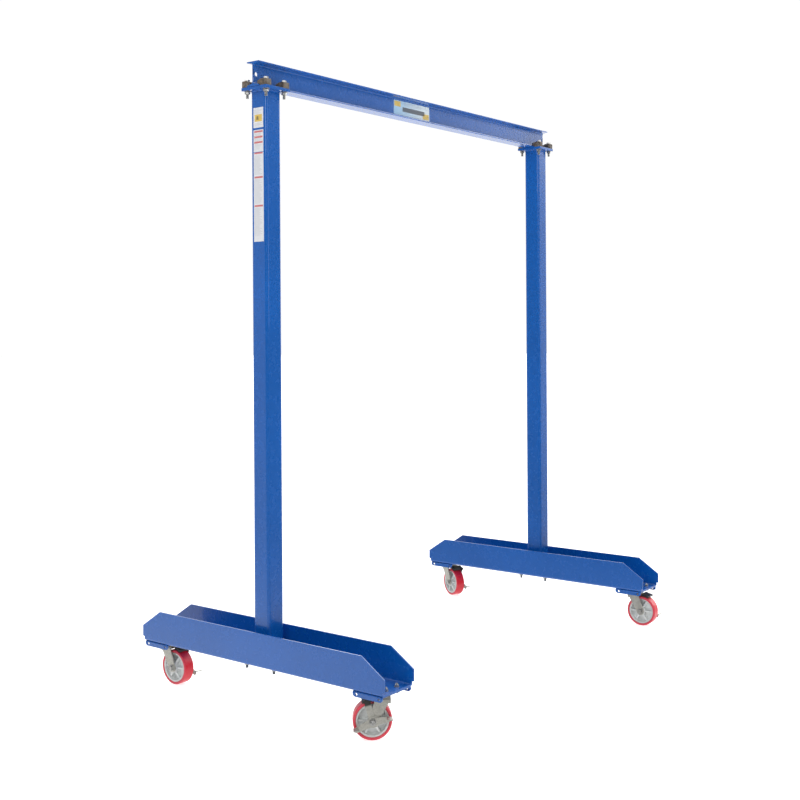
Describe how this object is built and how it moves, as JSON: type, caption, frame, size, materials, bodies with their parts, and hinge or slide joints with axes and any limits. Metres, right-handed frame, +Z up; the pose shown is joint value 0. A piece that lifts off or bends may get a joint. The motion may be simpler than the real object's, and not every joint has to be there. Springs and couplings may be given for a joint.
{
  "type": "portable gantry crane",
  "caption": "Fixed-height portal crane: rolled I-beam clamped on two square uprights, each bolted into a flanged base channel on braked swivel casters.",
  "frame": {"origin": "on the floor, under the middle of the beam and between the base channels", "axes": "+X along the beam, from the labelled left upright to the right one; +Y along the base channels, to the rear; +Z up"},
  "size_m": [2.3765, 1.4015, 2.6716],
  "materials": {
    "paint": "gloss blue enamel",
    "caster_zinc": "yellowish zinc plate",
    "bolt_zinc": "clear zinc plate",
    "bearing_steel": "ground steel",
    "clamp_iron": "oiled forging scale",
    "hub_iron": "silver-grey paint on cast iron",
    "tread": "red moulded polyurethane",
    "brake_shoe": "black friction pad",
    "label_white": "laminated label film",
    "label_blue": "laminated label film"
  },
  "bodies": {
    "frame": {"beam": "paint", "upright_left": "paint", "upright_right": "paint", "top_plates": "paint", "foot_plates": "paint", "base_channel_left": "paint", "base_channel_right": "paint", "caster_pads": "paint", "beam_clamps": "clamp_iron", "clamp_bolts": "bolt_zinc", "foot_bolts": "bolt_zinc", "frame_nuts": "bolt_zinc", "frame_washers": "bolt_zinc", "upright_labels": "label_white", "beam_label": "label_blue", "caster_plates": "caster_zinc", "caster_bolts": "bolt_zinc", "caster_nuts": "bolt_zinc", "kingpins": "bolt_zinc", "swivel_balls": "bearing_steel"},
    "caster_left_front": {"fork_left_front": "caster_zinc", "axle_bolt_left_front": "bolt_zinc", "axle_nut_left_front": "bolt_zinc", "sleeve_left_front": "bearing_steel"},
    "wheel_left_front": {"hub_left_front": "hub_iron", "tread_left_front": "tread", "bearing_left_front": "bearing_steel"},
    "lever_left_front": {"brake_lever_left_front": "caster_zinc"},
    "shoe_left_front": {"brake_arm_left_front": "caster_zinc", "brake_shoe_left_front": "brake_shoe"},
    "caster_left_rear": {"fork_left_rear": "caster_zinc", "axle_bolt_left_rear": "bolt_zinc", "axle_nut_left_rear": "bolt_zinc", "sleeve_left_rear": "bearing_steel"},
    "wheel_left_rear": {"hub_left_rear": "hub_iron", "tread_left_rear": "tread", "bearing_left_rear": "bearing_steel"},
    "lever_left_rear": {"brake_lever_left_rear": "caster_zinc"},
    "shoe_left_rear": {"brake_arm_left_rear": "caster_zinc", "brake_shoe_left_rear": "brake_shoe"},
    "caster_right_front": {"fork_right_front": "caster_zinc", "axle_bolt_right_front": "bolt_zinc", "axle_nut_right_front": "bolt_zinc", "sleeve_right_front": "bearing_steel"},
    "wheel_right_front": {"hub_right_front": "hub_iron", "tread_right_front": "tread", "bearing_right_front": "bearing_steel"},
    "lever_right_front": {"brake_lever_right_front": "caster_zinc"},
    "shoe_right_front": {"brake_arm_right_front": "caster_zinc", "brake_shoe_right_front": "brake_shoe"},
    "caster_right_rear": {"fork_right_rear": "caster_zinc", "axle_bolt_right_rear": "bolt_zinc", "axle_nut_right_rear": "bolt_zinc", "sleeve_right_rear": "bearing_steel"},
    "wheel_right_rear": {"hub_right_rear": "hub_iron", "tread_right_rear": "tread", "bearing_right_rear": "bearing_steel"},
    "lever_right_rear": {"brake_lever_right_rear": "caster_zinc"},
    "shoe_right_rear": {"brake_arm_right_rear": "caster_zinc", "brake_shoe_right_rear": "brake_shoe"}
  },
  "joints": [
    {"name": "swivel_left_front", "type": "hinge", "parent": "frame", "child": "caster_left_front", "pos_m": [-1.075, -0.6, 0.175], "axis": [0, 0, 1], "continuous": true},
    {"name": "roll_left_front", "type": "hinge", "parent": "caster_left_front", "child": "wheel_left_front", "pos_m": [-1.10049, -0.57169, 0.0762], "axis": [-0.7431, -0.6691, 0], "continuous": true},
    {"name": "brake_left_front", "type": "hinge", "parent": "caster_left_front", "child": "lever_left_front", "pos_m": [-1.10049, -0.57169, 0.0762], "axis": [0.7431, 0.6691, 0], "range_deg": [0, 20]},
    {"name": "shoe_slide_left_front", "type": "slide", "parent": "caster_left_front", "child": "shoe_left_front", "axis": [0.1732, -0.1923, -0.9659], "range_m": [0, 0.0022]},
    {"name": "swivel_left_rear", "type": "hinge", "parent": "frame", "child": "caster_left_rear", "pos_m": [-1.075, 0.6, 0.175], "axis": [0, 0, 1], "continuous": true},
    {"name": "roll_left_rear", "type": "hinge", "parent": "caster_left_rear", "child": "wheel_left_rear", "pos_m": [-1.075, 0.5619, 0.0762], "axis": [1, 0, 0], "continuous": true},
    {"name": "brake_left_rear", "type": "hinge", "parent": "caster_left_rear", "child": "lever_left_rear", "pos_m": [-1.075, 0.5619, 0.0762], "axis": [-1, 0, 0], "range_deg": [0, 20]},
    {"name": "shoe_slide_left_rear", "type": "slide", "parent": "caster_left_rear", "child": "shoe_left_rear", "axis": [0, 0.2588, -0.9659], "range_m": [0, 0.0022]},
    {"name": "swivel_right_front", "type": "hinge", "parent": "frame", "child": "caster_right_front", "pos_m": [1.075, -0.6, 0.175], "axis": [0, 0, 1], "continuous": true},
    {"name": "roll_right_front", "type": "hinge", "parent": "caster_right_front", "child": "wheel_right_front", "pos_m": [1.07832, -0.63796, 0.0762], "axis": [0.9962, 0.0872, 0], "continuous": true},
    {"name": "brake_right_front", "type": "hinge", "parent": "caster_right_front", "child": "lever_right_front", "pos_m": [1.07832, -0.63796, 0.0762], "axis": [-0.9962, -0.0872, 0], "range_deg": [0, 20]},
    {"name": "shoe_slide_right_front", "type": "slide", "parent": "caster_right_front", "child": "shoe_right_front", "axis": [-0.0226, 0.2578, -0.9659], "range_m": [0, 0.0022]},
    {"name": "swivel_right_rear", "type": "hinge", "parent": "frame", "child": "caster_right_rear", "pos_m": [1.075, 0.6, 0.175], "axis": [0, 0, 1], "continuous": true},
    {"name": "roll_right_rear", "type": "hinge", "parent": "caster_right_rear", "child": "wheel_right_rear", "pos_m": [1.06011, 0.56493, 0.0762], "axis": [0.9205, -0.3907, 0], "continuous": true},
    {"name": "brake_right_rear", "type": "hinge", "parent": "caster_right_rear", "child": "lever_right_rear", "pos_m": [1.06011, 0.56493, 0.0762], "axis": [-0.9205, 0.3907, 0], "range_deg": [0, 20]},
    {"name": "shoe_slide_right_rear", "type": "slide", "parent": "caster_right_rear", "child": "shoe_right_rear", "axis": [0.1011, 0.2382, -0.9659], "range_m": [0, 0.0022]}
  ],
  "couplings": [
    {"joint": "shoe_slide_left_front", "follows": "brake_left_front", "m_per_rad": 0.0063025},
    {"joint": "shoe_slide_left_rear", "follows": "brake_left_rear", "m_per_rad": 0.0063025},
    {"joint": "shoe_slide_right_front", "follows": "brake_right_front", "m_per_rad": 0.0063025},
    {"joint": "shoe_slide_right_rear", "follows": "brake_right_rear", "m_per_rad": 0.0063025}
  ]
}
